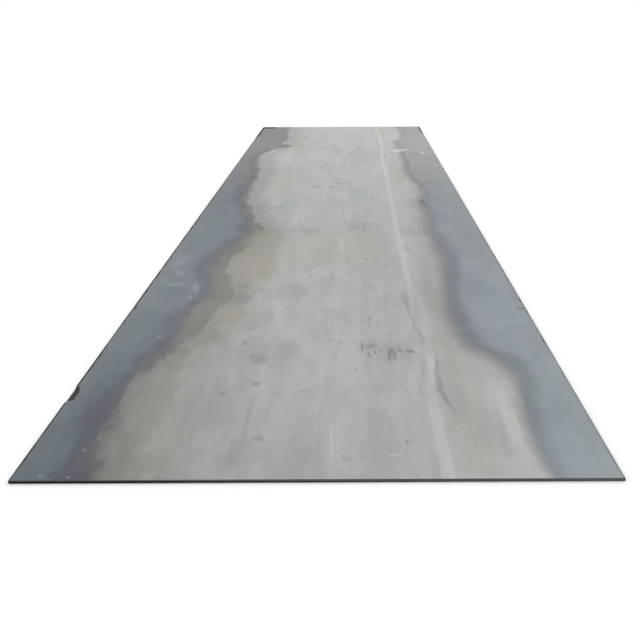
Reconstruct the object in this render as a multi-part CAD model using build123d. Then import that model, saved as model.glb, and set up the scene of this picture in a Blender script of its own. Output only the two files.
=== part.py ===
from build123d import *
import os

# Hot-rolled steel plate, cut to length from coil and lying flat. Sizes are in millimetres.
# X runs across the plate, Y along it and Z up. The origin is under the plate's middle, on the floor.
# The end at -Y is the leading end of the cut, and the end at +Y is the trailing end.

# The plate as it is ordered
plate_width = 1500.0
plate_length = 6000.0
plate_thickness = 10.0

# The long edges, left as the rolls spread them: crowned, with eased corners
edge_crown = 1.4
edge_corner_radius = 1.0

# The ends, cut by a shear: rolled over where the blade went in, then a smooth land, then a torn slope
rollover_radius = 1.2
land_height = 3.4
breakout_lean = 0.8

# Flakes that broke out of the top of the long edges, down to a layer in the steel that lies flat
flake_floor_share = 0.88
flake_middle_share = 0.5

# The deep flake on the left edge, near the leading end
deep_flake_length = 108.0
deep_flake_width = 24.0
deep_flake_sink = 6.0
deep_flake_place_share = 0.0755
deep_flake_mouth_shares = [
    (0.0, 0.0),
    (0.16, 0.96),
    (0.37, 0.92),
    (0.64, 1.0),
    (0.71, 0.83),
    (0.93, 0.58),
    (1.0, 0.0),
]

# The shallow flake further along the left edge
shallow_flake_length = 90.0
shallow_flake_width = 17.0
shallow_flake_sink = 1.2
shallow_flake_place_share = 0.194

# Handling dents in the top corner of the right edge, all alike
dent_length = 42.0
dent_width = 8.0
dent_sink = 1.6
dent_place_shares = [0.139, 0.184, 0.204]

# The mouth of a shallow flake or a dent: share of its length, share of its width
worn_mouth_shares = [
    (0.0, 0.0),
    (0.22, 0.72),
    (0.48, 1.0),
    (0.79, 0.66),
    (1.0, 0.0),
]

# How far every cut runs past the faces it opens
overrun = 2.0

# Worked out from the sizes above
half_width = plate_width / 2
half_length = plate_length / 2
left = -1
right = 1


def rolled_section():
    """The section across the plate: two flat faces between crowned, eased edges."""
    flat_reach = half_width - edge_crown
    middle = plate_thickness / 2
    underside = Line((-flat_reach, 0), (flat_reach, 0))
    right_edge = ThreePointArc((flat_reach, 0), (half_width, middle), (flat_reach, plate_thickness))
    top = Line((flat_reach, plate_thickness), (-flat_reach, plate_thickness))
    left_edge = ThreePointArc((-flat_reach, plate_thickness), (-half_width, middle), (-flat_reach, 0))
    section = make_face([underside, right_edge, top, left_edge])
    return fillet(section.vertices(), edge_corner_radius)


def sheared_section():
    """The section along the plate: the blade went in from above at the leading end, from below at the other."""
    land_reach = rollover_radius + land_height
    leading_entry = (-half_length, plate_thickness)
    trailing_entry = (half_length, 0)
    outline = Polyline(
        (-half_length + breakout_lean, 0),
        trailing_entry,
        (half_length, land_reach),
        (half_length - breakout_lean, plate_thickness),
        leading_entry,
        (-half_length, plate_thickness - land_reach),
        close=True,
    )
    section = make_face(outline)
    entries = [section.vertices().sort_by_distance(entry)[0] for entry in (leading_entry, trailing_entry)]
    return fillet(entries, rollover_radius)


def flake_outline(side, place_share, length, width, mouth_shares, spread):
    """A flake's outline seen from above, spread from the middle of its mouth and closed outside the edge."""
    middle = place_share * plate_length - half_length
    points = []
    for along_share, width_share in mouth_shares:
        along = middle + (along_share - flake_middle_share) * length * spread
        across = side * (half_width - width_share * width * spread)
        points.append((across, along))
    outside = side * (half_width + overrun)
    first_along = points[0][1]
    last_along = points[-1][1]
    return make_face(Polyline((outside, first_along), *points, (outside, last_along), close=True))


def flake(side, place_share, length, width, sink, mouth_shares):
    """The space that a flake left: a ragged mouth in the top face, drawn in a little to a flat floor."""
    floor_height = plate_thickness - sink
    cut_height = plate_thickness + overrun
    cut_spread = 1 + (1 - flake_floor_share) * overrun / sink
    floor = flake_outline(side, place_share, length, width, mouth_shares, flake_floor_share)
    mouth = flake_outline(side, place_share, length, width, mouth_shares, cut_spread)
    return loft([Pos(0, 0, floor_height) * floor, Pos(0, 0, cut_height) * mouth], ruled=True)


def steel_plate():
    """The plate: its two sections meet in one solid, and the edge damage is taken out of it."""
    rolled = extrude(Plane.XZ * rolled_section(), amount=half_length + overrun, both=True)
    sheared = extrude(Plane.YZ * sheared_section(), amount=half_width + overrun, both=True)
    plate = rolled & sheared
    plate -= flake(
        left,
        deep_flake_place_share,
        deep_flake_length,
        deep_flake_width,
        deep_flake_sink,
        deep_flake_mouth_shares,
    )
    plate -= flake(
        left,
        shallow_flake_place_share,
        shallow_flake_length,
        shallow_flake_width,
        shallow_flake_sink,
        worn_mouth_shares,
    )
    for place_share in dent_place_shares:
        plate -= flake(right, place_share, dent_length, dent_width, dent_sink, worn_mouth_shares)
    return plate


os.makedirs("parts", exist_ok=True)
plate = steel_plate()
export_step(plate, "parts/steel_plate.step")
print("steel_plate", len(plate.solids()), "solid,", round(plate.volume), "cubic mm,", plate.bounding_box().size)
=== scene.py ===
# %% [markdown]
# # A hot-rolled steel plate
# The object is one plate of mild steel, 1.5 m wide, 6 m long and 10 mm thick, lying on a pale floor. Its
# solid is packed and fixed, so this lesson only gives it a skin: a finer mesh with the relief that
# rolling, shearing and handling leave, and four finishes, for the rolled faces, the long edges, the cut
# ends and the places where steel has flaked away. We could paint the solid as it is, but a plate this
# plain is all surface, so the surface gets the work.

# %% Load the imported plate
import math

import bmesh
import bpy
from mathutils import Color, Matrix, Vector, noise


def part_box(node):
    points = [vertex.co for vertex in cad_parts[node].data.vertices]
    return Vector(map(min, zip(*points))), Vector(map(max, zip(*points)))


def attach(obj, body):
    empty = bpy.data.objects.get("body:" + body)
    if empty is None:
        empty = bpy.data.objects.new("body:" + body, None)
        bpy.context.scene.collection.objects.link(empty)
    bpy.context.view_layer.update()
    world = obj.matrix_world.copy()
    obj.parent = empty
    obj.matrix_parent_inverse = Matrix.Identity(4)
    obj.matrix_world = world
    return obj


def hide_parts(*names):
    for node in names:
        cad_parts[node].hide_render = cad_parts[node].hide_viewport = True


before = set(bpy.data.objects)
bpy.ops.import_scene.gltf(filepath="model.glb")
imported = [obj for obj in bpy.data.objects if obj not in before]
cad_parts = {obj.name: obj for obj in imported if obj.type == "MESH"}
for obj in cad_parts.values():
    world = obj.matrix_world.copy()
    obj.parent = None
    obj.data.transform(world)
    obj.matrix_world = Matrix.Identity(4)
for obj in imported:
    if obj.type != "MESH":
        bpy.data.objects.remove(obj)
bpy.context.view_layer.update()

scene = bpy.context.scene
plate_low, plate_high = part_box("steel_plate")
width = plate_high.x - plate_low.x
length = plate_high.y - plate_low.y
thickness = plate_high.z - plate_low.z
print(f"packed plate: {width:.3f} by {length:.3f} by {thickness:.4f} m")

# %% [markdown]
# ## Where things are on the plate
# A mark on a plate is easiest to place as two shares: how far across it lies from the left edge, and how
# far along it lies from the leading end, the one nearest the camera. Everything below that is placed one
# by one uses these shares, so it stays on the plate if the plate changes size.

# %% Shares to metres
mm_per_metre = 1000


def spot(across_share, along_share):
    """The point of the plate's top face at these shares of its width and length."""
    return Vector((plate_low.x + across_share * width, plate_low.y + along_share * length, plate_high.z))


print("middle of the plate:", [round(value, 3) for value in spot(0.5, 0.5)])

# %% [markdown]
# ## A net of faces over the solid
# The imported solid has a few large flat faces, and relief needs many small ones. We could build a grid
# from nothing, but then the rounded edges, the sheared ends and the flakes would have to be made twice.
# Instead we weld a copy of the solid and slice it with planes, as a loaf is sliced, which keeps every
# form that it has. Each cut halves the faces that are left to slice, so no face is looked at more often
# than it needs.

# %% Weld and slice a copy of the solid
weld_distance = 1e-6
flat_angle = 0.002
net_pitch = 0.025

net = bmesh.new()
net.from_mesh(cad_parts["steel_plate"].data)
bmesh.ops.remove_doubles(net, verts=net.verts[:], dist=weld_distance)
bmesh.ops.dissolve_limit(net, angle_limit=flat_angle, verts=net.verts[:], edges=net.edges[:])


def even_places(low, high, pitch):
    """Places between two ends, about one pitch apart and the ends left out."""
    count = round((high - low) / pitch)
    return [low + (high - low) * i / count for i in range(1, count)]


def slice_faces(faces, axis, places):
    """Cuts faces by planes square to an axis (0 is X, 1 is Y, 2 is Z) and returns the faces they became."""
    if not places or not faces:
        return list(faces)
    middle = len(places) // 2
    direction = Vector((0, 0, 0))
    direction[axis] = 1
    edges = {edge for face in faces for edge in face.edges}
    corners = {corner for face in faces for corner in face.verts}
    cut = bmesh.ops.bisect_plane(
        net,
        geom=[*corners, *edges, *faces],
        plane_co=direction * places[middle],
        plane_no=direction,
        dist=weld_distance,
    )
    pieces = [part for part in cut["geom"] if isinstance(part, bmesh.types.BMFace)]
    below = [face for face in pieces if face.calc_center_median()[axis] < places[middle]]
    above = [face for face in pieces if face.calc_center_median()[axis] >= places[middle]]
    return slice_faces(below, axis, places[:middle]) + slice_faces(above, axis, places[middle + 1 :])


slice_faces(net.faces[:], 0, even_places(plate_low.x, plate_high.x, net_pitch))
slice_faces(net.faces[:], 1, even_places(plate_low.y, plate_high.y, net_pitch))
print("net of", len(net.faces), "faces")

# %% [markdown]
# ## Which face is which
# Four finishes meet on this mesh, so each face needs to know where it belongs. The rule is the one a hand
# would use: the ends face along the plate, the long edges face sideways, a flake lies below the top face,
# and all the rest is rolled face. It is settled before the relief, while flat still means flat.

# %% Sort the faces
edge_reach = 0.0024
end_reach = 0.004
skin = 0.0002
corner_drop = 0.0011
side_facing = 0.35
end_facing = 0.5
rolled, edge, sheared, flaked = range(4)


def finish_of(face):
    """The finish that a face belongs to."""
    middle = face.calc_center_median()
    near_end = length / 2 - abs(middle.y) < end_reach
    near_edge = width / 2 - abs(middle.x) < edge_reach
    if near_end and abs(face.normal.y) > end_facing:
        return sheared
    if near_edge and abs(face.normal.x) > side_facing:
        return edge
    drop = corner_drop if near_edge else skin
    if plate_low.z + drop < middle.z < plate_high.z - drop and not near_end:
        return flaked
    return rolled


net.normal_update()
for face in net.faces:
    face.material_index = finish_of(face)


def faces_of(finish):
    """The faces that belong to a finish."""
    return [face for face in net.faces if face.material_index == finish]


print("rolled, edge, sheared and flaked faces:", [len(faces_of(finish)) for finish in range(4)])

# %% [markdown]
# ## More faces where the relief is fine
# The torn half of a sheared end is rough at the scale of a millimetre, and so is the floor of a flake. A
# net that fine over the whole plate would hold millions of faces. Only these faces are sliced again, and
# a lap, the thin fold of skin that the rolls pressed into the top, gets a strip of finer faces along its
# path.

# %% Slice the ends and the flakes again
end_pitch = 0.009
torn_pitch = 0.0011
flake_pitch = 0.004

ends = slice_faces(faces_of(sheared), 0, even_places(plate_low.x, plate_high.x, end_pitch))
slice_faces(ends, 2, even_places(plate_low.z, plate_high.z, torn_pitch))
for side in (-1, 1):
    damage = [face for face in faces_of(flaked) if face.calc_center_median().x * side > 0]
    for axis in range(2):
        reach = [corner.co[axis] for face in damage for corner in face.verts]
        damage = slice_faces(damage, axis, even_places(min(reach), max(reach), flake_pitch))
print("net of", len(net.faces), "faces after the ends and flakes")

# %% Refine a strip along the lap
lap_path_shares = [
    (0.773, 0.02), (0.768, 0.045), (0.752, 0.056), (0.741, 0.066), (0.735, 0.08), (0.734, 0.096),
    (0.74, 0.113), (0.722, 0.124), (0.719, 0.136), (0.72, 0.146), (0.707, 0.162), (0.702, 0.184),
    (0.697, 0.212), (0.699, 0.236),
]
lap_strip = 0.03
lap_cuts = 6
lap_points = [spot(*shares) for shares in lap_path_shares]


def distance_to_run(place, start, end):
    """How far a place lies from a straight run between two points."""
    run = end - start
    share = max(0.0, min(1.0, (place - start).dot(run) / run.length_squared))
    return (place - start - run * share).length


def distance_to_lap(place):
    """How far a place of the top face lies from the lap's path."""
    return min(distance_to_run(place, start, end) for start, end in zip(lap_points, lap_points[1:]))


lap_low = Vector(map(min, zip(*lap_points)))
lap_high = Vector(map(max, zip(*lap_points)))


def near_lap(place):
    """Whether a place lies in the box round the lap, where its distance is worth measuring."""
    across = lap_low.x - lap_strip < place.x < lap_high.x + lap_strip
    return across and lap_low.y - lap_strip < place.y < lap_high.y + lap_strip


top_faces = [face for face in faces_of(rolled) if face.normal.z > end_facing]
boxed_faces = [face for face in top_faces if near_lap(face.calc_center_median())]
lap_faces = [face for face in boxed_faces if distance_to_lap(face.calc_center_median()) < lap_strip]
lap_edges = list({rim for face in lap_faces for rim in face.edges})
bmesh.ops.subdivide_edges(net, edges=lap_edges, cuts=lap_cuts, use_grid_fill=True)
print("net of", len(net.faces), "faces after the lap")

# %% [markdown]
# ## Relief
# No plate is quite flat. Rolling leaves long shallow waves and lengthwise flow, coiling leaves a short
# crease, a shear tears the part of the end that its blade didn't cut, and the long edge bulges unevenly.
# All of it is pressed inwards from the solid, never out, so the plate keeps its size. A displacement map
# could do the same, but vertex moves are exact, export as they are and cost nothing to render.

# %% Press the relief into the net
wave_depth = 0.0006
flow_depth = 0.00012
crease_depth = 0.0009
crease_reach = 0.05
crease_start = spot(0.757, 0.757)
crease_end = spot(0.882, 0.797)
lap_depth = 0.0006
lap_reach = 0.005
torn_depth = 0.0005
torn_start_share = 0.42
torn_ease = 6.0
torn_rate = 260.0
edge_depth = 0.0003
flake_relief = 0.0007


def swell(place, across_rate, along_rate, layer):
    """Smooth noise from 0 to 1 that changes so many times a metre across and along the plate."""
    value = noise.noise(Vector((place.x * across_rate, place.y * along_rate, layer)))
    return max(0.0, min(1.0, 0.5 + value))


def pressed(place):
    """How far the top face lies below flat at a place."""
    depth = wave_depth * swell(place, 1.3, 0.45, 1.0) + flow_depth * swell(place, 9.0, 0.7, 2.0)
    from_crease = distance_to_run(place, crease_start, crease_end)
    depth += crease_depth * math.exp(-((from_crease / crease_reach) ** 2))
    if near_lap(place):
        depth += lap_depth * max(0.0, 1 - distance_to_lap(place) / lap_reach)
    return depth


def corners_of(finish):
    """The corners of the faces that belong to a finish."""
    return {corner for face in faces_of(finish) for corner in face.verts}


flake_corners = corners_of(flaked)
sheared_corners = corners_of(sheared)
edge_corners = corners_of(edge)


def relief(corner):
    """The move that presses a corner of the net in."""
    place = corner.co.copy()
    height = (place.z - plate_low.z) / thickness
    move = Vector((0, 0, 0))
    if height > 0.5:
        move.z -= pressed(Vector((place.x, place.y, plate_high.z))) * (2 * height - 1)
    if corner in flake_corners and skin < place.z < plate_high.z - skin:
        move.z -= flake_relief * swell(place, 90.0, 60.0, 3.0)
    if corner in edge_corners:
        move.x -= math.copysign(edge_depth, place.x) * swell(place, 0.0, 14.0, 4.0 + height)
    if corner in sheared_corners:
        from_blade = 1 - height if place.y < 0 else height
        torn = max(0.0, min(1.0, (from_blade - torn_start_share) * torn_ease))
        roughness = min(1.0, abs(noise.noise(place * torn_rate)) * 2)
        move.y -= math.copysign(torn_depth, place.y) * torn * roughness
    return move


moves = [(corner, relief(corner)) for corner in net.verts]
for corner, move in moves:
    corner.co += move
deepest = max(move.length for corner, move in moves)
print(f"relief presses in at most {deepest * mm_per_metre:.2f} mm")

# %% [markdown]
# ## The finished mesh
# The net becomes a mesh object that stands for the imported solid. Smooth shading with sharp edges kept by
# angle lets the long waves read as one surface, while the rims of the flakes and the cut ends stay crisp.

# %% Make the plate object
crisp_angle = math.radians(32)

plate_mesh = bpy.data.meshes.new("rolled_plate")
net.to_mesh(plate_mesh)
net.free()
plate_mesh.shade_smooth()
plate_mesh.set_sharp_from_angle(angle=crisp_angle)
plate = bpy.data.objects.new("rolled_plate", plate_mesh)
scene.collection.objects.link(plate)
plate_mesh.calc_loop_triangles()
print("rolled_plate:", len(plate_mesh.vertices), "points,", len(plate_mesh.loop_triangles), "triangles")

# %% [markdown]
# ## Building with nodes
# A finish is a graph of small sums. Written out in full, each sum takes four lines, so a few helpers
# stand for the ones that come up again and again: add a node and fill its sockets, do arithmetic, ease
# from one level to the next, mix two colours, follow a curve, read smooth noise at a stretched scale and
# wire the result to a shader.

# %% Node helpers
def shade(red, green, blue):
    """A colour picked on a screen scale of 0 to 255, as the linear colour that nodes use."""
    linear = Color((red / 255, green / 255, blue / 255)).from_srgb_to_scene_linear()
    return (*linear, 1.0)


def wire(tree, inputs, sockets):
    """Sets input sockets by name or number, or links other sockets to them."""
    for key, value in sockets.items():
        if isinstance(value, bpy.types.NodeSocket):
            tree.links.new(value, inputs[key])
        else:
            inputs[key].default_value = value


def add(tree, kind, sockets=None, **settings):
    """Adds a node, sets its properties, and sets or links its input sockets."""
    made = tree.nodes.new(kind)
    for name, value in settings.items():
        setattr(made, name, value)
    wire(tree, made.inputs, sockets or {})
    return made


def calc(tree, operation, first, second=0.0):
    """One step of arithmetic on two numbers."""
    return add(tree, "ShaderNodeMath", {0: first, 1: second}, operation=operation).outputs[0]


def times(tree, first, *others):
    """The product of two or more numbers."""
    for other in others:
        first = calc(tree, "MULTIPLY", first, other)
    return first


def plus(tree, first, second):
    """The sum of two numbers."""
    return calc(tree, "ADD", first, second)


def minus(tree, first, second):
    """The first number less the second."""
    return calc(tree, "SUBTRACT", first, second)


def sway(tree, value, amount):
    """Noise about 0.5 as a swing about zero, of half the amount each way."""
    return times(tree, minus(tree, value, 0.5), amount)


def vector(tree, operation, first, second):
    """One step of arithmetic on two vectors."""
    return add(tree, "ShaderNodeVectorMath", {0: first, 1: second}, operation=operation).outputs[0]


def ease(tree, value, low, high, start=0.0, end=1.0):
    """Eases from start to end while value goes from low to high."""
    sockets = {"Value": value, "From Min": low, "From Max": high, "To Min": start, "To Max": end}
    return add(tree, "ShaderNodeMapRange", sockets, interpolation_type="SMOOTHSTEP").outputs["Result"]


def mix(tree, share, first, second, way="MIX"):
    """Mixes a share of the second colour into the first."""
    made = add(tree, "ShaderNodeMix", {0: share, 6: first, 7: second}, data_type="RGBA", blend_type=way)
    return made.outputs[2]


def ramp(tree, value, stops):
    """A colour that changes with a value, through the colours given at these places."""
    made = add(tree, "ShaderNodeValToRGB", {"Fac": value})
    steps = made.color_ramp.elements
    while len(steps) < len(stops):
        steps.new(1.0)
    for step, (place, colour) in zip(steps, stops):
        step.position = place
        step.color = shade(*colour)
    return made.outputs["Color"]


def follow(tree, value, points):
    """A smooth curve through given points, read at a value from 0 to 1."""
    made = add(tree, "ShaderNodeFloatCurve", {"Value": value})
    line = made.mapping.curves[0]
    for place, height in points[2:]:
        line.points.new(place, height)
    for point, (place, height) in zip(line.points, points):
        point.location = (place, height)
    made.mapping.update()
    return made.outputs["Value"]


def noise_at(tree, place, rates, layer, detail=2.0, roughness=0.5, distortion=0.0):
    """Smooth noise about 0.5 that changes so many times a metre along X, Y and Z, as a value and a colour."""
    stretched = vector(tree, "ADD", vector(tree, "MULTIPLY", place, rates), (layer, layer, layer))
    sockets = {
        "Vector": stretched,
        "Scale": 1.0,
        "Detail": detail,
        "Roughness": roughness,
        "Distortion": distortion,
    }
    return add(tree, "ShaderNodeTexNoise", sockets).outputs


def cloud(tree, place, rates, layer, **settings):
    """Smooth noise as a value."""
    return noise_at(tree, place, rates, layer, **settings)["Fac"]


def new_group(name, inputs, outputs):
    """A shader node group with named sockets, as the tree, what comes in and what goes out."""
    tree = bpy.data.node_groups.new(name, "ShaderNodeTree")
    for title, kind in inputs.items():
        tree.interface.new_socket(title, in_out="INPUT", socket_type=f"NodeSocket{kind}")
    for title, kind in outputs.items():
        tree.interface.new_socket(title, in_out="OUTPUT", socket_type=f"NodeSocket{kind}")
    return tree, add(tree, "NodeGroupInput").outputs, add(tree, "NodeGroupOutput").inputs


def use(tree, group, **sockets):
    """Places a node group, with its sockets given by name, and returns what it puts out."""
    named = {title.replace("_", " "): value for title, value in sockets.items()}
    return add(tree, "ShaderNodeGroup", named, node_tree=group).outputs


def new_finish(name):
    """A new material on the plate, as its tree, its shader and the place on the plate in metres."""
    material = bpy.data.materials.new(name)
    material.use_nodes = True
    plate_mesh.materials.append(material)
    tree = material.node_tree
    place = add(tree, "ShaderNodeTexCoord").outputs["Object"]
    return tree, tree.nodes["Principled BSDF"], place


def dress(tree, shader, colour, roughness, metallic, bump, specular=0.5):
    """Wires a finish to its shader, with its bump as a height, a strength and a depth in metres."""
    height, strength, depth = bump
    bumped = add(tree, "ShaderNodeBump", {"Height": height, "Strength": strength, "Distance": depth})
    sockets = {"Base Color": colour, "Roughness": roughness, "Metallic": metallic}
    sockets |= {"Specular IOR Level": specular, "Normal": bumped.outputs[0]}
    wire(tree, shader.inputs, sockets)


print("node helpers ready")

# %% [markdown]
# ## Rolling grain
# Rolls draw everything on the steel out lengthwise, so its streaks are metres long and millimetres wide.
# The grain is noise that is stretched that way. Only the peaks and the hollows of the finer noise are
# kept, because a real plate has single streaks with plain steel between them, and not an even comb. Both
# the rolled faces and the long edges show the grain, so it is a node group.

# %% Group: rolling_grain
rolling_grain, given, made = new_group(
    "rolling_grain",
    {"Place": "Vector"},
    {"Broad": "Float", "Streaks": "Float", "Height": "Float"},
)
broad = cloud(rolling_grain, given["Place"], (9.0, 0.3, 9.0), 3.0, detail=3.0)
lines = cloud(rolling_grain, given["Place"], (48.0, 1.1, 48.0), 7.0, detail=3.0, roughness=0.6)
hairs = cloud(rolling_grain, given["Place"], (420.0, 30.0, 420.0), 11.0)
pale_streaks = ease(rolling_grain, lines, 0.58, 0.74, 0.5, 1.0)
dark_streaks = ease(rolling_grain, lines, 0.26, 0.42, 0.5, 0.0)
streaks = minus(rolling_grain, pale_streaks, dark_streaks)
wire(rolling_grain, made, {"Broad": broad, "Streaks": streaks, "Height": plus(rolling_grain, lines, hairs)})
print("rolling_grain:", len(rolling_grain.nodes), "nodes")

# %% [markdown]
# ## Weathering
# Bare steel blotches as it is stored: damp, hands and dust leave soft clouds, dried water leaves patches
# with a crisp rim, and grit leaves short dark specks. Every finish of the plate has some of it, so it is
# a group too. The patches are noise cut off at one level. The specks are cells of a Voronoi texture, of
# which most are dropped by chance, so that they lie scattered and not in rows.

# %% Group: weathering
weathering, given, made = new_group(
    "weathering",
    {"Place": "Vector", "Cells per metre": "Float"},
    {"Clouds": "Float", "Mottle": "Float", "Patches": "Float", "Specks": "Float"},
)
clouds = cloud(weathering, given["Place"], (2.6, 1.1, 2.6), 21.0, detail=4.0, roughness=0.55)
mottle = cloud(weathering, given["Place"], (24.0, 12.0, 24.0), 25.0, detail=4.0, roughness=0.6)
large = cloud(weathering, given["Place"], (9.0, 2.4, 9.0), 27.0, detail=3.0, distortion=0.2)
small = cloud(weathering, given["Place"], (24.0, 6.0, 24.0), 29.0, distortion=0.2)
rims = plus(weathering, ease(weathering, large, 0.46, 0.54), ease(weathering, small, 0.44, 0.56))
drawn_out = vector(weathering, "MULTIPLY", given["Place"], (1.0, 0.4, 1.0))
cells = add(weathering, "ShaderNodeTexVoronoi", {"Vector": drawn_out, "Scale": given["Cells per metre"]})
chance = add(weathering, "ShaderNodeSeparateColor", {0: cells.outputs["Color"]})
chosen = ease(weathering, chance.outputs[0], 0.80, 0.95)
dots = ease(weathering, cells.outputs["Distance"], 0.10, 0.30, 1.0, 0.0)
patches = times(weathering, rims, 0.5)
specks = times(weathering, chosen, dots)
wire(weathering, made, {"Clouds": clouds, "Mottle": mottle, "Patches": patches, "Specks": specks})
print("weathering:", len(weathering.nodes), "nodes")

# %% [markdown]
# ## The rolled face: plain steel
# The middle of the plate is bare steel, a warm grey near the leading end and a cooler, paler grey further
# on. It is made greyer towards the left front corner.

# %% Colour of the plain steel
face, face_shader, place = new_finish("rolled_face")
axes = add(face, "ShaderNodeSeparateXYZ", {0: place})
from_left = minus(face, axes.outputs["X"], plate_low.x)
from_front = minus(face, axes.outputs["Y"], plate_low.y)
across = calc(face, "DIVIDE", from_left, width)
along = calc(face, "DIVIDE", from_front, length)

grain = use(face, rolling_grain, Place=place)
weather = use(face, weathering, Place=place, Cells_per_metre=16.0)
drift = sway(face, weather["Clouds"], 0.10)
steel_greys = [
    (0.0, (165, 165, 163)), (0.1, (172, 172, 170)), (0.38, (171, 171, 169)), (0.6, (175, 175, 175)),
    (0.92, (181, 181, 181)),
]
steel = ramp(face, plus(face, along, drift), steel_greys)
grey_left = ease(face, across, 0.12, 0.46, 1.0, 0.0)
grey_front = ease(face, along, 0.0, 0.28, 1.0, 0.0)
greyness = times(face, grey_left, grey_front, 0.6)
steel = mix(face, greyness, steel, shade(136, 136, 131))
print("plain steel runs through", len(steel_greys), "greys")

# %% [markdown]
# ## Streaks, clouds and patches
# Layers of grain and weather lighten and darken the steel a little. Soft Light keeps the colour of what
# is under it, while plain mixing would turn it grey.

# %% Streaks, clouds and patches
def level(tree, value, low, high):
    """A grey that goes with a value of smooth noise, from low to high, for soft light."""
    return ease(tree, value, 0.28, 0.72, low, high)


steel_layers = [
    level(face, grain["Broad"], 0.475, 0.525),
    ease(face, grain["Streaks"], 0.0, 1.0, 0.480, 0.520),
    level(face, weather["Clouds"], 0.475, 0.525),
    level(face, weather["Mottle"], 0.470, 0.530),
    ease(face, weather["Patches"], 0.0, 1.0, 0.460, 0.540),
]
for layer in steel_layers:
    steel = mix(face, 1.0, steel, layer, "SOFT_LIGHT")
print(len(steel_layers), "layers laid over the steel")

# %% [markdown]
# ## Heat-tinted bands
# A plate leaves the rolls hot and its two long edges cool first, so a blue-grey film of oxide stays on
# them, with a dark line where it ends and an olive fringe beyond. The line wanders: it follows how wet
# the strip was. Each band is read by its depth, the distance in from its line, and the film's colours are
# laid by that depth in a group that serves both sides.

# %% Group: heat_tint
heat_tint, given, made = new_group(
    "heat_tint",
    {
        "Steel": "Color",
        "Fringe": "Color",
        "Line": "Color",
        "Film": "Color",
        "Depth": "Float",
        "Fringe reach": "Float",
        "Slope reach": "Float",
        "Dark reach": "Float",
        "Crispness": "Float",
        "Line width": "Float",
    },
    {"Color": "Color", "Cover": "Float"},
)
depth = given["Depth"]
fringe_start = times(heat_tint, given["Fringe reach"], -1.0)
slope_start = times(heat_tint, given["Slope reach"], -1.0)
faint_share = ease(heat_tint, depth, fringe_start, slope_start, 0.0, 0.55)
crisp_end = times(heat_tint, slope_start, given["Crispness"])
fringe_share = calc(heat_tint, "MAXIMUM", faint_share, ease(heat_tint, depth, slope_start, crisp_end))
dark_start = times(heat_tint, given["Dark reach"], -1.0)
dark_share = ease(heat_tint, depth, dark_start, 0.0)
cover = ease(heat_tint, depth, times(heat_tint, dark_start, 0.5), 0.0)
film_share = ease(heat_tint, depth, 0.0, given["Line width"])
tinted = mix(heat_tint, fringe_share, given["Steel"], given["Fringe"])
tinted = mix(heat_tint, dark_share, tinted, given["Line"])
tinted = mix(heat_tint, film_share, tinted, given["Film"])
wire(heat_tint, made, {"Color": tinted, "Cover": cover})
print("heat_tint:", len(heat_tint.nodes), "nodes")

# %% [markdown]
# ## Where the bands end
# Each line is a curve along the plate, drawn through the points where it turns. Noise at two
# scales frays it, because the film ends in bays and bites of a few centimetres.

# %% The two lines and their fraying
left_line_shares = [
    (0.0, 0.098), (0.014, 0.102), (0.026, 0.084), (0.085, 0.086), (0.115, 0.11), (0.15, 0.14),
    (0.18, 0.126), (0.218, 0.168), (0.255, 0.14), (0.29, 0.124), (0.335, 0.162), (0.365, 0.186),
    (0.41, 0.184), (0.455, 0.14), (0.52, 0.102), (0.6, 0.112), (0.66, 0.098), (0.725, 0.072),
    (0.79, 0.122), (0.814, 0.205), (0.84, 0.152), (0.876, 0.182), (0.93, 0.158), (1.0, 0.156),
]
right_line_shares = [
    (0.0, 0.893), (0.04, 0.889), (0.06, 0.895), (0.1, 0.913), (0.117, 0.89), (0.135, 0.843),
    (0.16, 0.824), (0.22, 0.826), (0.27, 0.85), (0.33, 0.85), (0.38, 0.841), (0.44, 0.856),
    (0.475, 0.846), (0.52, 0.874), (0.565, 0.861), (0.61, 0.84), (0.7, 0.838), (0.77, 0.837),
    (0.81, 0.827), (0.85, 0.824), (0.872, 0.858), (0.905, 0.876), (1.0, 0.866),
]
bays = cloud(face, place, (13.0, 6.0, 13.0), 31.0, detail=3.0)
bites = cloud(face, place, (40.0, 11.0, 40.0), 33.0, detail=3.0, roughness=0.55)
fray = plus(face, sway(face, bays, 0.070), sway(face, bites, 0.042))


def depth_into(line_shares, side, raggedness):
    """How far past a band's line a place lies towards the edge, in metres, with the line frayed."""
    gap = minus(face, across, follow(face, along, line_shares))
    past_line = times(face, gap, side * width)
    return plus(face, past_line, times(face, fray, raggedness))


left_depth = depth_into(left_line_shares, -1, ease(face, along, 0.12, 0.30, 1.7, 1.0))
right_depth = depth_into(right_line_shares, 1, ease(face, along, 0.30, 0.50, 0.4, 0.65))
print("bands follow", len(left_line_shares), "and", len(right_line_shares), "points")

# %% The left band
left_film_greys = [
    (0.0, (107, 112, 117)), (0.1, (114, 120, 124)), (0.2, (125, 127, 131)), (0.35, (123, 125, 130)),
    (0.5, (114, 118, 122)), (0.65, (116, 117, 120)), (0.8, (127, 127, 127)), (0.93, (122, 122, 122)),
]
left_line_greys = [
    (0.0, (95, 95, 98)), (0.12, (109, 109, 112)), (0.2, (115, 115, 117)), (0.35, (109, 110, 112)),
    (0.5, (101, 102, 104)), (0.65, (107, 107, 108)), (0.9, (120, 120, 120)),
]
left_fringe_greys = [
    (0.0, (119, 116, 110)), (0.12, (124, 122, 117)), (0.18, (131, 130, 125)), (0.26, (132, 129, 124)),
    (0.33, (122, 119, 114)), (0.38, (119, 119, 113)), (0.55, (132, 132, 129)), (0.75, (144, 144, 142)),
]
left_slope = [
    (0.0, 0.085), (0.12, 0.085), (0.18, 0.16), (0.25, 0.14), (0.3, 0.13), (0.355, 0.19), (0.41, 0.07),
    (0.46, 0.08), (0.55, 0.085), (1.0, 0.07),
]
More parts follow.
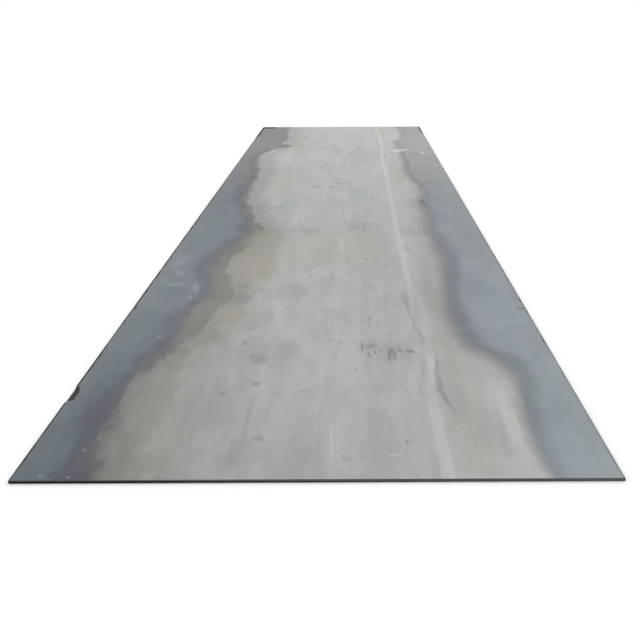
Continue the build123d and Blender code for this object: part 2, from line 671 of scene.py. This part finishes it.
left_dark = [
    (0.0, 0.095), (0.12, 0.09), (0.18, 0.06), (0.28, 0.09), (0.41, 0.06), (0.53, 0.085), (0.62, 0.055),
    (1.0, 0.05),
]
left_crispness = ease(face, along, 0.10, 0.18, 0.4, 0.7)
left_crispness = times(face, left_crispness, ease(face, along, 0.45, 0.6, 1.0, 0.2))
left_band = use(
    face,
    heat_tint,
    Steel=steel,
    Fringe=ramp(face, along, left_fringe_greys),
    Line=ramp(face, along, left_line_greys),
    Film=ramp(face, along, left_film_greys),
    Depth=left_depth,
    Fringe_reach=0.23,
    Slope_reach=follow(face, along, left_slope),
    Dark_reach=follow(face, along, left_dark),
    Crispness=left_crispness,
    Line_width=0.065,
)
print("left band: film through", len(left_film_greys), "greys")

# %% The right band
right_film_greys = [
    (0.0, (145, 149, 150)), (0.2, (142, 145, 150)), (0.35, (140, 141, 144)), (0.55, (139, 141, 143)),
    (0.85, (158, 158, 158)), (0.95, (154, 154, 153)),
]
right_line_greys = [
    (0.0, (139, 142, 141)), (0.08, (130, 132, 132)), (0.17, (121, 123, 125)), (0.27, (123, 125, 128)),
    (0.4, (127, 128, 128)), (0.72, (131, 131, 132)), (0.86, (148, 148, 146)),
]
right_slope = [
    (0.0, 0.04), (0.04, 0.045), (0.09, 0.075), (0.12, 0.13), (0.16, 0.09), (0.34, 0.105), (0.6, 0.08),
    (1.0, 0.06),
]
right_dark = follow(face, along, right_slope)
right_width = [(0.0, 0.035), (0.15, 0.07), (0.25, 0.06), (0.32, 0.09), (0.4, 0.05), (1.0, 0.05)]
fringe_strength = times(face, ease(face, along, 0.07, 0.13), ease(face, along, 0.6, 0.8, 0.5, 0.1))
right_fringe = mix(face, fringe_strength, steel, shade(146, 146, 140))
right_band = use(
    face,
    heat_tint,
    Steel=left_band["Color"],
    Fringe=right_fringe,
    Line=ramp(face, along, right_line_greys),
    Film=ramp(face, along, right_film_greys),
    Depth=right_depth,
    Fringe_reach=0.14,
    Slope_reach=right_dark,
    Dark_reach=right_dark,
    Crispness=0.3,
    Line_width=follow(face, along, right_width),
)
film_cover = calc(face, "MAXIMUM", left_band["Cover"], right_band["Cover"])
colour = right_band["Color"]
print("right band: film through", len(right_film_greys), "greys")

# %% [markdown]
# ## Violet and teal in the film
# A film this thin has no pigment. Its colour comes from its thickness, as on a soap bubble: violet by the
# left line, slate by the right one, where it is thin, and blue to teal further in. Patches shift it both
# ways. The tint is strongest near the front, where the film is thickest, and the last centimetres by the
# edge are rubbed grey.

# %% Colour shift of the film
def by_side(left, right):
    """A value that eases from one at the left of the plate to another at the right."""
    return ease(face, across, 0.4, 0.6, left, right)


violet = shade(119, 121, 134)
slate = shade(124, 125, 129)
blue = shade(117, 125, 138)
teal = shade(116, 130, 135)
film_depth = calc(face, "MAXIMUM", left_depth, right_depth)
drifted = cloud(face, place, (6.0, 2.0, 6.0), 35.0, detail=3.0, distortion=0.5)
tint_depth = plus(face, film_depth, ease(face, drifted, 0.30, 0.70, -0.045, 0.045))
right_shift = ease(face, along, 0.05, 0.15, 0.110, 0.060)
tint_depth = plus(face, tint_depth, times(face, by_side(0.0, 1.0), right_shift))
rim_tone = mix(face, by_side(0.0, 1.0), violet, slate)
tone = mix(face, ease(face, tint_depth, -0.030, 0.020), rim_tone, blue)
tone = mix(face, ease(face, tint_depth, 0.070, 0.150), tone, teal)
edge_gap = calc(face, "MINIMUM", from_left, minus(face, width, from_left))
tint_strengths = [
    (0.0, 0.74), (0.1, 0.66), (0.28, 0.56), (0.42, 0.66), (0.55, 0.4), (0.7, 0.15), (1.0, 0.0),
]
unrubbed = ease(face, edge_gap, 0.010, 0.080, 0.3, 1.0)
tint = times(face, film_cover, follow(face, along, tint_strengths), unrubbed, by_side(1.0, 0.68))
colour = mix(face, tint, colour, tone, "COLOR")
film_clouds = cloud(face, place, (8.0, 4.0, 8.0), 41.0, detail=3.0, distortion=0.6)
colour = mix(face, film_cover, colour, level(face, film_clouds, 0.462, 0.538), "SOFT_LIGHT")
print("film goes from violet to teal")

# %% [markdown]
# ## Marks
# What happened to this plate shows as marks at known places: stains where water stood, pale rubs, short
# scuffs from a hook or clamp, ticks and smudges. One group gives the mask of one mark, a patch with
# rounded corners, drawn out and turned as it needs. A painted texture could hold them all, but a list can
# be read and moved. Noise bends the ground that they are drawn on, so no two get the same outline.

# %% Group: mark
mark, given, made = new_group(
    "mark",
    {
        "Place": "Vector",
        "Centre": "Vector",
        "Reach": "Vector",
        "Turn": "Float",
        "Softness": "Float",
        "Rim": "Float",
    },
    {"Mask": "Float"},
)
offset = vector(mark, "SUBTRACT", given["Place"], given["Centre"])
turned = add(
    mark,
    "ShaderNodeVectorRotate",
    {"Vector": offset, "Angle": times(mark, given["Turn"], -1.0)},
    rotation_type="Z_AXIS",
)
scaled = vector(mark, "DIVIDE", turned.outputs[0], given["Reach"])
squared = vector(mark, "MULTIPLY", scaled, scaled)
length_squared = add(mark, "ShaderNodeVectorMath", {0: squared}, operation="LENGTH").outputs["Value"]
radius = plus(mark, calc(mark, "SQRT", length_squared), given["Rim"])
inside = ease(mark, radius, minus(mark, 1.0, given["Softness"]), 1.0, 1.0, 0.0)
wire(mark, made, {"Mask": inside})
print("mark:", len(mark.nodes), "nodes")

# %% Laying a coat of marks
bend = 0.016
rim_bend = 0.9
bends = noise_at(face, place, (42.0, 20.0, 42.0), 51.0, detail=3.0, roughness=0.6)["Color"]
off_course = vector(face, "MULTIPLY", vector(face, "SUBTRACT", bends, (0.5, 0.5, 0.5)), (bend, bend, 0.0))
bent_place = vector(face, "ADD", place, off_course)
rim_noise = cloud(face, place, (18.0, 8.0, 18.0), 55.0, detail=4.0, roughness=0.65)
rim = sway(face, rim_noise, rim_bend)


def cover_of(places, softness):
    """The mask of marks at shares across and along, with half sizes in millimetres and a turn in degrees."""
    cover = 0.0
    for across_share, along_share, half_width, half_length, *turn in places:
        patch = use(
            face,
            mark,
            Place=bent_place,
            Centre=spot(across_share, along_share),
            Reach=(half_width / mm_per_metre, half_length / mm_per_metre, 1.0),
            Turn=math.radians(sum(turn)),
            Softness=softness,
            Rim=rim,
        )
        cover = calc(face, "MAXIMUM", patch["Mask"], cover)
    return cover


def lay(colour, paint, strength, softness, places):
    """Lays one coat of marks over a colour."""
    return mix(face, times(face, cover_of(places, softness), strength), colour, shade(*paint))


plain_colour = colour
print("marks bend by up to", bend / 2 * mm_per_metre, "mm")

# %% Stains beside the bands
olive = [
    (0.228, 0.168, 28, 80), (0.25, 0.206, 62, 110), (0.264, 0.234, 50, 60), (0.262, 0.335, 65, 300),
]
moss = [(0.262, 0.35, 75, 260), (0.185, 0.126, 30, 45)]
tan = [(0.278, 0.305, 125, 520), (0.255, 0.182, 75, 130), (0.265, 0.335, 100, 260)]
rose = [(0.45, 0.334, 340, 370), (0.29, 0.178, 110, 160), (0.415, 0.173, 28, 85), (0.77, 0.07, 60, 450)]
brown = [(0.356, 0.1165, 30, 52, 20)]
scorched = [(0.105, 0.006, 28, 45), (0.838, 0.477, 20, 100), (0.212, 0.815, 42, 50)]
step = [(0.165, 0.068, 47, 200)]
colour = lay(colour, (148, 147, 142), 0.40, 0.20, step)
colour = lay(colour, (154, 148, 138), 0.74, 0.60, tan)
colour = lay(colour, (134, 133, 126), 0.45, 0.80, olive)
colour = lay(colour, (132, 132, 121), 0.62, 0.80, moss)
colour = lay(colour, (164, 161, 155), 0.30, 0.12, rose)
colour = lay(colour, (138, 135, 131), 0.55, 0.60, brown)
colour = lay(colour, (98, 97, 106), 0.60, 0.60, scorched)
print("stains laid beside the bands")

# %% Faint patches on the steel
lilac = [(0.635, 0.028, 100, 190), (0.668, 0.27, 45, 800), (0.64, 0.095, 20, 150)]
teal_grey = [
    (0.697, 0.08, 14, 75), (0.585, 0.51, 75, 270), (0.325, 0.475, 60, 250), (0.66, 0.49, 35, 180),
    (0.355, 0.18, 20, 100),
]
straw = [
    (0.265, 0.57, 70, 500), (0.765, 0.62, 45, 600), (0.272, 0.79, 65, 450), (0.27, 0.88, 75, 250),
    (0.345, 0.74, 45, 200), (0.745, 0.94, 35, 350), (0.612, 0.315, 35, 120),
]
pale_steel = [
    (0.848, 0.05, 26, 220), (0.527, 0.333, 18, 190), (0.355, 0.415, 25, 120), (0.4, 0.74, 140, 350),
]
dull_steel = [
    (0.255, 0.66, 80, 420), (0.275, 0.335, 100, 300), (0.34, 0.365, 85, 350), (0.31, 0.175, 110, 170),
    (0.37, 0.125, 120, 220), (0.375, 0.225, 110, 200), (0.76, 0.07, 55, 420),
]
burnt_far = [(0.862, 0.837, 62, 150), (0.885, 0.56, 30, 200), (0.95, 0.915, 55, 400)]
colour = lay(colour, (164, 164, 170), 0.38, 0.30, lilac)
colour = lay(colour, (157, 167, 165), 0.48, 0.40, teal_grey)
colour = lay(colour, (171, 170, 160), 0.55, 0.50, straw)
colour = lay(colour, (184, 184, 181), 0.55, 0.60, pale_steel)
colour = lay(colour, (150, 150, 149), 0.34, 0.90, dull_steel)
colour = lay(colour, (140, 139, 137), 0.22, 0.60, burnt_far)
print("faint patches laid on the steel")

# %% Seams and streaks along the plate
dark_seams = [
    (0.506, 0.083, 3.5, 130), (0.511, 0.166, 3, 130), (0.466, 0.093, 2.5, 50), (0.545, 0.285, 5, 220),
    (0.51, 0.47, 4, 160), (0.568, 0.43, 4, 110), (0.617, 0.43, 4, 110, -8), (0.645, 0.505, 7, 130),
    (0.606, 0.555, 5, 100), (0.459, 0.66, 5, 260), (0.47, 0.81, 8, 250), (0.195, 0.767, 6, 200, 3),
    (0.695, 0.08, 4, 110), (0.738, 0.32, 8, 130),
]
pale_seams = [
    (0.521, 0.027, 5, 150), (0.491, 0.045, 4, 90), (0.519, 0.46, 6, 200), (0.633, 0.48, 5, 180),
    (0.627, 0.6, 4, 100), (0.455, 0.57, 9, 350), (0.527, 0.52, 6, 200), (0.44, 0.9, 25, 200),
    (0.497, 0.7, 50, 500), (0.345, 0.632, 20, 50), (0.15, 0.775, 35, 80),
]
colour = lay(colour, (142, 142, 140), 0.42, 0.95, dark_seams)
colour = lay(colour, (196, 196, 194), 0.40, 0.95, pale_seams)
print(len(dark_seams), "dark and", len(pale_seams), "pale seams")

# %% Smudges and ticks
smudges = [
    (0.363, 0.0855, 20, 28), (0.6, 0.131, 50, 50), (0.303, 0.0755, 11, 14, -35),
    (0.392, 0.0325, 26, 26), (0.459, 0.077, 10, 15), (0.455, 0.366, 11, 30), (0.473, 0.365, 8, 22),
    (0.394, 0.482, 12, 35), (0.505, 0.25, 9, 40), (0.325, 0.648, 10, 90, 10), (0.415, 0.665, 22, 60),
    (0.475, 0.55, 20, 60), (0.505, 0.568, 32, 40), (0.5, 0.592, 25, 30), (0.41, 0.55, 30, 50),
    (0.3, 0.888, 28, 60), (0.262, 0.835, 30, 50), (0.49, 0.79, 30, 50), (0.56, 0.75, 20, 50),
]
# Most are faint smudges; the three long ones at 0.71 to 0.77 across are painted shade beside the lap.
faint_smudges_and_lap_shade = [
    (0.362, 0.096, 10, 30), (0.355, 0.02, 25, 100), (0.364, 0.045, 13, 220), (0.47, 0.143, 18, 24),
    (0.51, 0.141, 14, 20), (0.43, 0.105, 20, 25), (0.595, 0.058, 18, 12), (0.606, 0.135, 45, 65),
    (0.64, 0.133, 35, 55), (0.649, 0.1465, 13, 30, 12), (0.715, 0.19, 30, 600), (0.712, 0.1, 26, 300),
    (0.765, 0.23, 55, 850), (0.415, 0.125, 55, 100), (0.415, 0.225, 60, 130), (0.41, 0.375, 60, 110),
    (0.66, 0.125, 110, 160), (0.32, 0.158, 8, 35), (0.645, 0.2, 6, 200), (0.6, 0.39, 120, 130),
    (0.42, 0.705, 22, 50), (0.685, 0.93, 20, 200), (0.485, 0.98, 30, 80), (0.3, 0.96, 60, 50),
]
ticks = [
    (0.315, 0.1385, 10, 12), (0.317, 0.1355, 32, 5), (0.401, 0.133, 10, 4), (0.531, 0.138, 6, 10, 20),
    (0.566, 0.1015, 7, 6), (0.602, 0.171, 4, 28, -6), (0.602, 0.296, 6, 28), (0.66, 0.278, 6, 22, -20),
    (0.602, 0.375, 6, 35), (0.441, 0.257, 8, 20), (0.545, 0.0165, 4, 20), (0.551, 0.0145, 10, 5),
    (0.655, 0.028, 5, 20), (0.91, 0.152, 8, 10, 40), (0.645, 0.182, 12, 5),
]
colour = lay(colour, (122, 121, 118), 0.48, 0.95, smudges)
colour = lay(colour, (138, 137, 134), 0.34, 0.90, faint_smudges_and_lap_shade)
colour = lay(colour, (98, 97, 95), 0.48, 0.90, ticks)
print(len(smudges) + len(faint_smudges_and_lap_shade), "smudges and", len(ticks), "ticks")

# %% Scuffs of a hook, and rubs
strokes = [
    (0.5815, 0.13, 9, 75), (0.5955, 0.1215, 10, 50, 12), (0.609, 0.1235, 9, 30), (0.6405, 0.12, 12, 55),
    (0.652, 0.119, 9, 48, -4), (0.645, 0.1255, 24, 32), (0.6655, 0.1262, 11, 26, 15),
    (0.6865, 0.125, 24, 22), (0.623, 0.1262, 8, 20),
]
rubs = [
    (0.583, 0.1185, 4, 14), (0.605, 0.12, 4, 22), (0.661, 0.1205, 4, 28, 12), (0.703, 0.126, 9, 12),
    (0.634, 0.1195, 4, 20), (0.566, 0.099, 5, 5), (0.68, 0.1745, 17, 9), (0.748, 0.0415, 13, 8),
    (0.63, 0.018, 24, 10), (0.845, 0.053, 12, 10, 35), (0.79, 0.09, 5, 16, -20),
    (0.131, 0.2125, 14, 14, 10), (0.111, 0.147, 12, 8, -20), (0.096, 0.023, 6, 14, -30),
    (0.05, 0.003, 12, 6), (0.094, 0.002, 8, 5), (0.885, 0.167, 14, 6, 15), (0.968, 0.1685, 14, 7, 15),
    (0.956, 0.03, 4, 14, -25), (0.965, 0.016, 12, 4), (0.977, 0.0125, 9, 4), (0.718, 0.368, 8, 20),
]
film_rubs = [
    (0.075, 0.239, 60, 30, 8), (0.066, 0.263, 30, 60), (0.03, 0.247, 20, 25),
    (0.132, 0.232, 18, 100, 10), (0.928, 0.166, 70, 30, 10),
]
lilac_film = [(0.948, 0.14, 60, 150), (0.97, 0.24, 40, 350), (0.045, 0.29, 50, 150)]
smear = [(0.818, 0.777, 120, 62, 36), (0.935, 0.758, 32, 40)]
colour = lay(colour, (106, 105, 101), 0.58, 0.95, strokes)
colour = lay(colour, (208, 209, 208), 0.26, 0.95, rubs)
colour = lay(colour, (147, 148, 155), 0.50, 0.90, lilac_film)
colour = lay(colour, (148, 152, 156), 0.50, 0.80, film_rubs)
colour = lay(colour, (204, 205, 203), 0.85, 0.90, smear)
speck_strength = ease(face, along, 0.25, 0.55, 0.12, 0.05)
colour = mix(face, times(face, weather["Specks"], speck_strength), colour, shade(100, 99, 96))
print(len(strokes), "strokes,", len(rubs) + len(film_rubs), "rubs, a smear and specks")

# %% [markdown]
# ## The pale rub line and the lap
# A guide or roll end rubbed one pale line down the whole plate, and near the front the lap shows as a
# thin dark line beside it, partly the seam itself and partly painted shade along the step that it makes.
# Both are lines, so both follow a curve, as the bands do, and two more curves say how wide and how strong
# each is along its way.

# %% Lines along the plate
def lay_line(colour, paint, line_shares, half_widths, strengths):
    """Lays a line that runs along the plate, full on its middle and fading out at its half width."""
    gap = minus(face, across, follow(face, along, line_shares))
    bent_gap = plus(face, times(face, gap, width), line_bend)
    half_width = follow(face, along, half_widths)
    full_width = times(face, half_width, 0.4)
    share = ease(face, calc(face, "ABSOLUTE", bent_gap), full_width, half_width, 1.0, 0.0)
    return mix(face, times(face, share, follow(face, along, strengths)), colour, shade(*paint))


line_noise = cloud(face, place, (0.0, 16.0, 0.0), 57.0, detail=4.0, roughness=0.6)
line_bend = sway(face, line_noise, 0.020)
rub_path = [
    (0.0, 0.715), (0.06, 0.714), (0.09, 0.716), (0.11, 0.727), (0.125, 0.727), (0.17, 0.713),
    (0.19, 0.713), (0.24, 0.717), (0.37, 0.716), (0.66, 0.719), (0.73, 0.719), (0.8, 0.729),
    (0.87, 0.732), (1.0, 0.727),
]
rub_widths = [(0.0, 0.024), (0.1, 0.02), (0.24, 0.02), (0.4, 0.021), (0.55, 0.018), (1.0, 0.018)]
rub_strengths = [
    (0.0, 0.3), (0.09, 0.24), (0.11, 0.28), (0.125, 0.04), (0.16, 0.04), (0.18, 0.06), (0.2, 0.16),
    (0.24, 0.26), (0.4, 0.26), (0.5, 0.24), (0.7, 0.44), (1.0, 0.4),
]
lap_path = [(along_share, across_share) for across_share, along_share in lap_path_shares]
lap_widths = [
    (0.0, 0.005), (0.055, 0.005), (0.08, 0.014), (0.1, 0.011), (0.114, 0.007), (0.13, 0.005),
    (0.165, 0.005), (0.18, 0.008), (0.21, 0.018), (1.0, 0.005),
]
lap_strengths = [
    (0.0, 0.0), (0.02, 0.0), (0.03, 0.1), (0.05, 0.1), (0.058, 0.22), (0.066, 0.34), (0.09, 0.32),
    (0.11, 0.3), (0.117, 0.1), (0.128, 0.04), (0.136, 0.28), (0.15, 0.32), (0.162, 0.36), (0.17, 0.12),
    (0.185, 0.26), (0.21, 0.26), (0.235, 0.0), (1.0, 0.0),
]
colour = lay_line(colour, (203, 205, 204), rub_path, rub_widths, rub_strengths)
# The lap's dark line: the seam, with painted shade along its step.
colour = lay_line(colour, (104, 103, 101), lap_path, lap_widths, lap_strengths)
print("rub line and lap laid")

# %% [markdown]
# ## Dark threads along the long edges
# The scale of the long edges wraps over the top corner as a ragged dark thread, a little wider towards
# the far end, where it turns black. The thread is painted shadow as well as scale: it stands for the thin
# shadow beside the edges, so it is strongest on the left, and the far left corner is painted near black
# as shade. All marks are on the top. The underside stays plain, because it has lain on bearers and
# nobody has walked on it.

# %% Edge threads, shaded far corner and underside
thread_noise = cloud(face, place, (60.0, 9.0, 60.0), 59.0, detail=4.0, roughness=0.65)
thread = ease(face, along, 0.0, 0.6, 0.008, 0.014)
thread = times(face, thread, ease(face, thread_noise, 0.3, 0.7, 0.6, 1.3))
thread_share = ease(face, edge_gap, times(face, thread, 0.6), thread, 1.0, 0.0)
thread_strength = times(face, by_side(0.85, 0.28), ease(face, along, 0.3, 0.6, 1.0, 0.5))
far_threads = [(0.0, 0.98, 22, 800), (1.0, 0.99, 18, 500)]
# The far left corner is painted shade, darkened almost to black.
shaded_far_corner = [(0.034, 1.0, 115, 135)]
scale_and_painted_shadow = times(face, thread_share, thread_strength)
scale_and_painted_shadow = calc(face, "MAXIMUM", scale_and_painted_shadow, cover_of(far_threads, 0.4))
scale_and_painted_shadow = calc(face, "MAXIMUM", scale_and_painted_shadow, cover_of(shaded_far_corner, 0.7))
edge_smudges = [
    (0.985, 0.19, 30, 18, 15), (0.996, 0.205, 14, 35), (0.998, 0.14, 12, 50), (0.998, 0.27, 10, 40),
]
# Paints the threads and the far corner dark: scale along the edges, and painted shadow.
colour = mix(face, scale_and_painted_shadow, colour, shade(40, 40, 40))
colour = lay(colour, (100, 102, 104), 0.55, 0.80, edge_smudges)
on_top = calc(face, "GREATER_THAN", axes.outputs["Z"], plate_low.z + thickness / 2)
colour = mix(face, on_top, plain_colour, colour)
# The far left corner is darkened as painted shade.
print("edges threaded, far left corner burnt, underside plain")

# %% [markdown]
# ## Gloss and grain of the rolled face
# Mill-finish steel is a blurred mirror: it takes on the light of the room with no clear image. The oxide
# film is a little smoother than the bare steel, and the weather varies both. Under the dark edge threads,
# which are scale and painted shadow, the metal share falls to nothing, and with no specular light of its
# own the thread stays dark. The bump is shallow, and only the finest grain is left to it, because the
# waves and the lap are in the mesh.

# %% Shader of the rolled face
gloss = level(face, weather["Mottle"], 0.49, 0.54)
gloss = minus(face, gloss, times(face, film_cover, 0.04))
metal = ease(face, scale_and_painted_shadow, 0.0, 1.0, 0.9, 0.0)
dress(face, face_shader, colour, gloss, metal, (grain["Height"], 0.04, 0.0004), specular=0.0)
print("rolled_face:", len(face.nodes), "nodes")

# %% [markdown]
# ## The long edges
# A mill edge is never cut. It keeps its scale, almost black, and rubs bare along its crown where plates
# slide over each other. The rub follows the height of the edge, broken up by the grain.

# %% Finish of the long edges
edge_tree, edge_shader, place = new_finish("mill_edge")
grain = use(edge_tree, rolling_grain, Place=place)
weather = use(edge_tree, weathering, Place=place, Cells_per_metre=60.0)
scale_dark = shade(58, 57, 56)
scale_brown = shade(78, 70, 63)
rubbed = shade(140, 139, 136)
colour = mix(edge_tree, ease(edge_tree, weather["Mottle"], 0.42, 0.62), scale_dark, scale_brown)
height = add(edge_tree, "ShaderNodeSeparateXYZ", {0: place}).outputs["Z"]
from_crown = calc(edge_tree, "ABSOLUTE", minus(edge_tree, height, plate_low.z + thickness / 2))
crown = ease(edge_tree, from_crown, 0.0, thickness * 0.3, 0.7, 0.0)
colour = mix(edge_tree, times(edge_tree, crown, grain["Broad"]), colour, rubbed)
rough = ease(edge_tree, weather["Mottle"], 0.3, 0.7, 0.5, 0.75)
dress(edge_tree, edge_shader, colour, rough, 0.6, (weather["Mottle"], 0.4, 0.0005))
print("mill_edge:", len(edge_tree.nodes), "nodes")

# %% [markdown]
# ## The sheared ends
# A shear leaves two zones: a burnished land where the blade cut, and a dark torn slope where the steel
# gave way. At the leading end the blade came from above, so the land is on top. At the other end it is
# below. The zone is read from the height, and the side from the end. The torn zone is painted near black,
# which is its dark scale and also painted shadow for the gap under the plate's end; that painted shadow is
# deepest at the left and thins to the right, so the land reaches further down at the right.

# %% Finish of the sheared ends
end_tree, end_shader, place = new_finish("sheared_end")
weather = use(end_tree, weathering, Place=place, Cells_per_metre=90.0)
end_axes = add(end_tree, "ShaderNodeSeparateXYZ", {0: place})
up = calc(end_tree, "DIVIDE", minus(end_tree, end_axes.outputs["Z"], plate_low.z), thickness)
down = minus(end_tree, 1.0, up)
trailing = calc(end_tree, "GREATER_THAN", end_axes.outputs["Y"], 0.0)
from_blade = add(end_tree, "ShaderNodeMix", {0: trailing, 2: down, 3: up}).outputs[0]
waver = sway(end_tree, weather["Mottle"], 0.25)
# The land's share of the height grows to the right, where the painted shadow under the end thins.
land_above_painted_shadow = ease(end_tree, end_axes.outputs["X"], plate_low.x, plate_high.x, 0.30, 0.95)
below_land = minus(end_tree, plus(end_tree, from_blade, waver), land_above_painted_shadow)
torn = ease(end_tree, below_land, -0.04, 0.10)
# Near black for the torn zone: dark scale, and painted shadow under the end.
colour = mix(end_tree, torn, shade(82, 84, 84), shade(18, 18, 18))
colour = mix(end_tree, ease(end_tree, weather["Mottle"], 0.55, 0.8, 0.0, 0.2), colour, scale_brown)
scores = cloud(end_tree, place, (900.0, 900.0, 60.0), 71.0)
rough = ease(end_tree, scores, 0.3, 0.7, 0.4, 0.55)
rough = plus(end_tree, rough, times(end_tree, torn, 0.4))
dress(end_tree, end_shader, colour, rough, 0.3, (scores, 0.3, 0.0003), specular=0.2)
print("sheared_end:", len(end_tree.nodes), "nodes")

# %% [markdown]
# ## The flakes
# Where a flake broke out, the floor is the old layer it parted along: dark scale, a little brown, and
# dull. A deep flake keeps its dark floor, and a shallow one is rubbed paler, so the colour follows the
# depth below the top face.

# %% Finish of the flakes
flake_tree, flake_shader, place = new_finish("flake_floor")
weather = use(flake_tree, weathering, Place=place, Cells_per_metre=120.0)
grit = cloud(flake_tree, place, (260.0, 180.0, 260.0), 81.0, detail=4.0, roughness=0.65)
colour = mix(flake_tree, ease(flake_tree, grit, 0.38, 0.66), shade(36, 36, 36), shade(66, 65, 64))
colour = mix(flake_tree, ease(flake_tree, weather["Mottle"], 0.5, 0.75, 0.0, 0.25), colour, scale_brown)
flake_height = add(flake_tree, "ShaderNodeSeparateXYZ", {0: place}).outputs["Z"]
flake_depth = minus(flake_tree, plate_high.z, flake_height)
shallow = ease(flake_tree, flake_depth, 0.0015, 0.0045, 0.6, 0.0)
colour = mix(flake_tree, shallow, colour, shade(98, 98, 97))
rough = ease(flake_tree, grit, 0.3, 0.7, 0.6, 0.85)
dress(flake_tree, flake_shader, colour, rough, 0.4, (grit, 0.5, 0.0006))
print("flake_floor:", len(flake_tree.nodes), "nodes")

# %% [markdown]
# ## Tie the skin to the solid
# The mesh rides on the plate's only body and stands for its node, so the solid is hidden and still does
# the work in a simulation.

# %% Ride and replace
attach(plate, "root")
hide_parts("steel_plate")
print("rolled_plate stands for steel_plate")

# %% [markdown]
# ## Floor and light
# The plate lies on a white floor in soft light. A large soft sun from the far right leaves a thin shadow
# along the left and front edges, and the sky is plain white. Rays that reach the camera, or come off
# metal, see the sky at full white, while the light that it casts is held lower, so that colours render
# about as they are written.

# %% Floor
floor_reach = 200.0
floor_drop = 0.0003
floor_white = 0.98
floor_corners = [(-1, -1), (1, -1), (1, 1), (-1, 1)]
floor_mesh = bpy.data.meshes.new("floor")
floor_points = [(x * floor_reach, y * floor_reach, plate_low.z - floor_drop) for x, y in floor_corners]
floor_mesh.from_pydata(floor_points, [], [(0, 1, 2, 3)])
floor = bpy.data.objects.new("floor", floor_mesh)
scene.collection.objects.link(floor)
floor_paint = bpy.data.materials.new("floor_white")
floor_paint.use_nodes = True
floor_shader = floor_paint.node_tree.nodes["Principled BSDF"]
floor_shader.inputs["Base Color"].default_value = (floor_white, floor_white, floor_white, 1.0)
floor_shader.inputs["Roughness"].default_value = 1.0
floor_shader.inputs["Specular IOR Level"].default_value = 0.0
floor_mesh.materials.append(floor_paint)
print("floor", floor_reach * 2, "m wide")

# %% Sky and sun
cast_strength = 0.9
sun_energy = 0.5
sun_softness = math.radians(35)
sun_from = Vector((0.45, 0.35, 1.0))

sky = bpy.data.worlds.new("sky")
scene.world = sky
sky.use_nodes = True
sky_tree = sky.node_tree
rays = add(sky_tree, "ShaderNodeLightPath").outputs
seen = calc(sky_tree, "MAXIMUM", rays["Is Camera Ray"], rays["Is Glossy Ray"])
seen = calc(sky_tree, "MAXIMUM", seen, rays["Is Transmission Ray"])
strength = ease(sky_tree, seen, 0.0, 1.0, cast_strength, 1.0)
sky_shader = sky_tree.nodes["Background"]
sky_shader.inputs["Color"].default_value = (1.0, 1.0, 1.0, 1.0)
sky_tree.links.new(strength, sky_shader.inputs["Strength"])
sun = bpy.data.objects.new("sun", bpy.data.lights.new("sun", "SUN"))
sun.data.energy = sun_energy
sun.data.angle = sun_softness
sun.rotation_euler = sun_from.to_track_quat("Z", "Y").to_euler()
scene.collection.objects.link(sun)
print("sun", sun_energy, "and sky", cast_strength)

# %% [markdown]
# ## Camera
# The camera stands in front of the leading end, about a metre up, looking down the plate, so that the far
# end shrinks to a quarter of the near one. Its place and angles were fitted to the plate's four corners.
# The far end lies right of the middle of the picture, which a small shift of the lens gives without
# turning the camera.

# %% Camera
image_width = 640
focal_pixels = 771.64
camera_place = Vector((0.0846, -4.5901, 1.068))
camera_pitch = math.radians(21.998)
camera_roll = math.radians(0.257)
lens_shift = -0.0484

camera = bpy.data.objects.new("camera", bpy.data.cameras.new("camera"))
camera.data.sensor_width = 36.0
camera.data.lens = focal_pixels * camera.data.sensor_width / image_width
camera.data.shift_x = lens_shift
camera.matrix_world = (
    Matrix.Translation(camera_place)
    @ Matrix.Rotation(math.pi / 2 - camera_pitch, 4, "X")
    @ Matrix.Rotation(-camera_roll, 4, "Z")
)
scene.collection.objects.link(camera)
scene.camera = camera
scene.view_settings.view_transform = "Standard"
print(f"lens {camera.data.lens:.1f} mm")
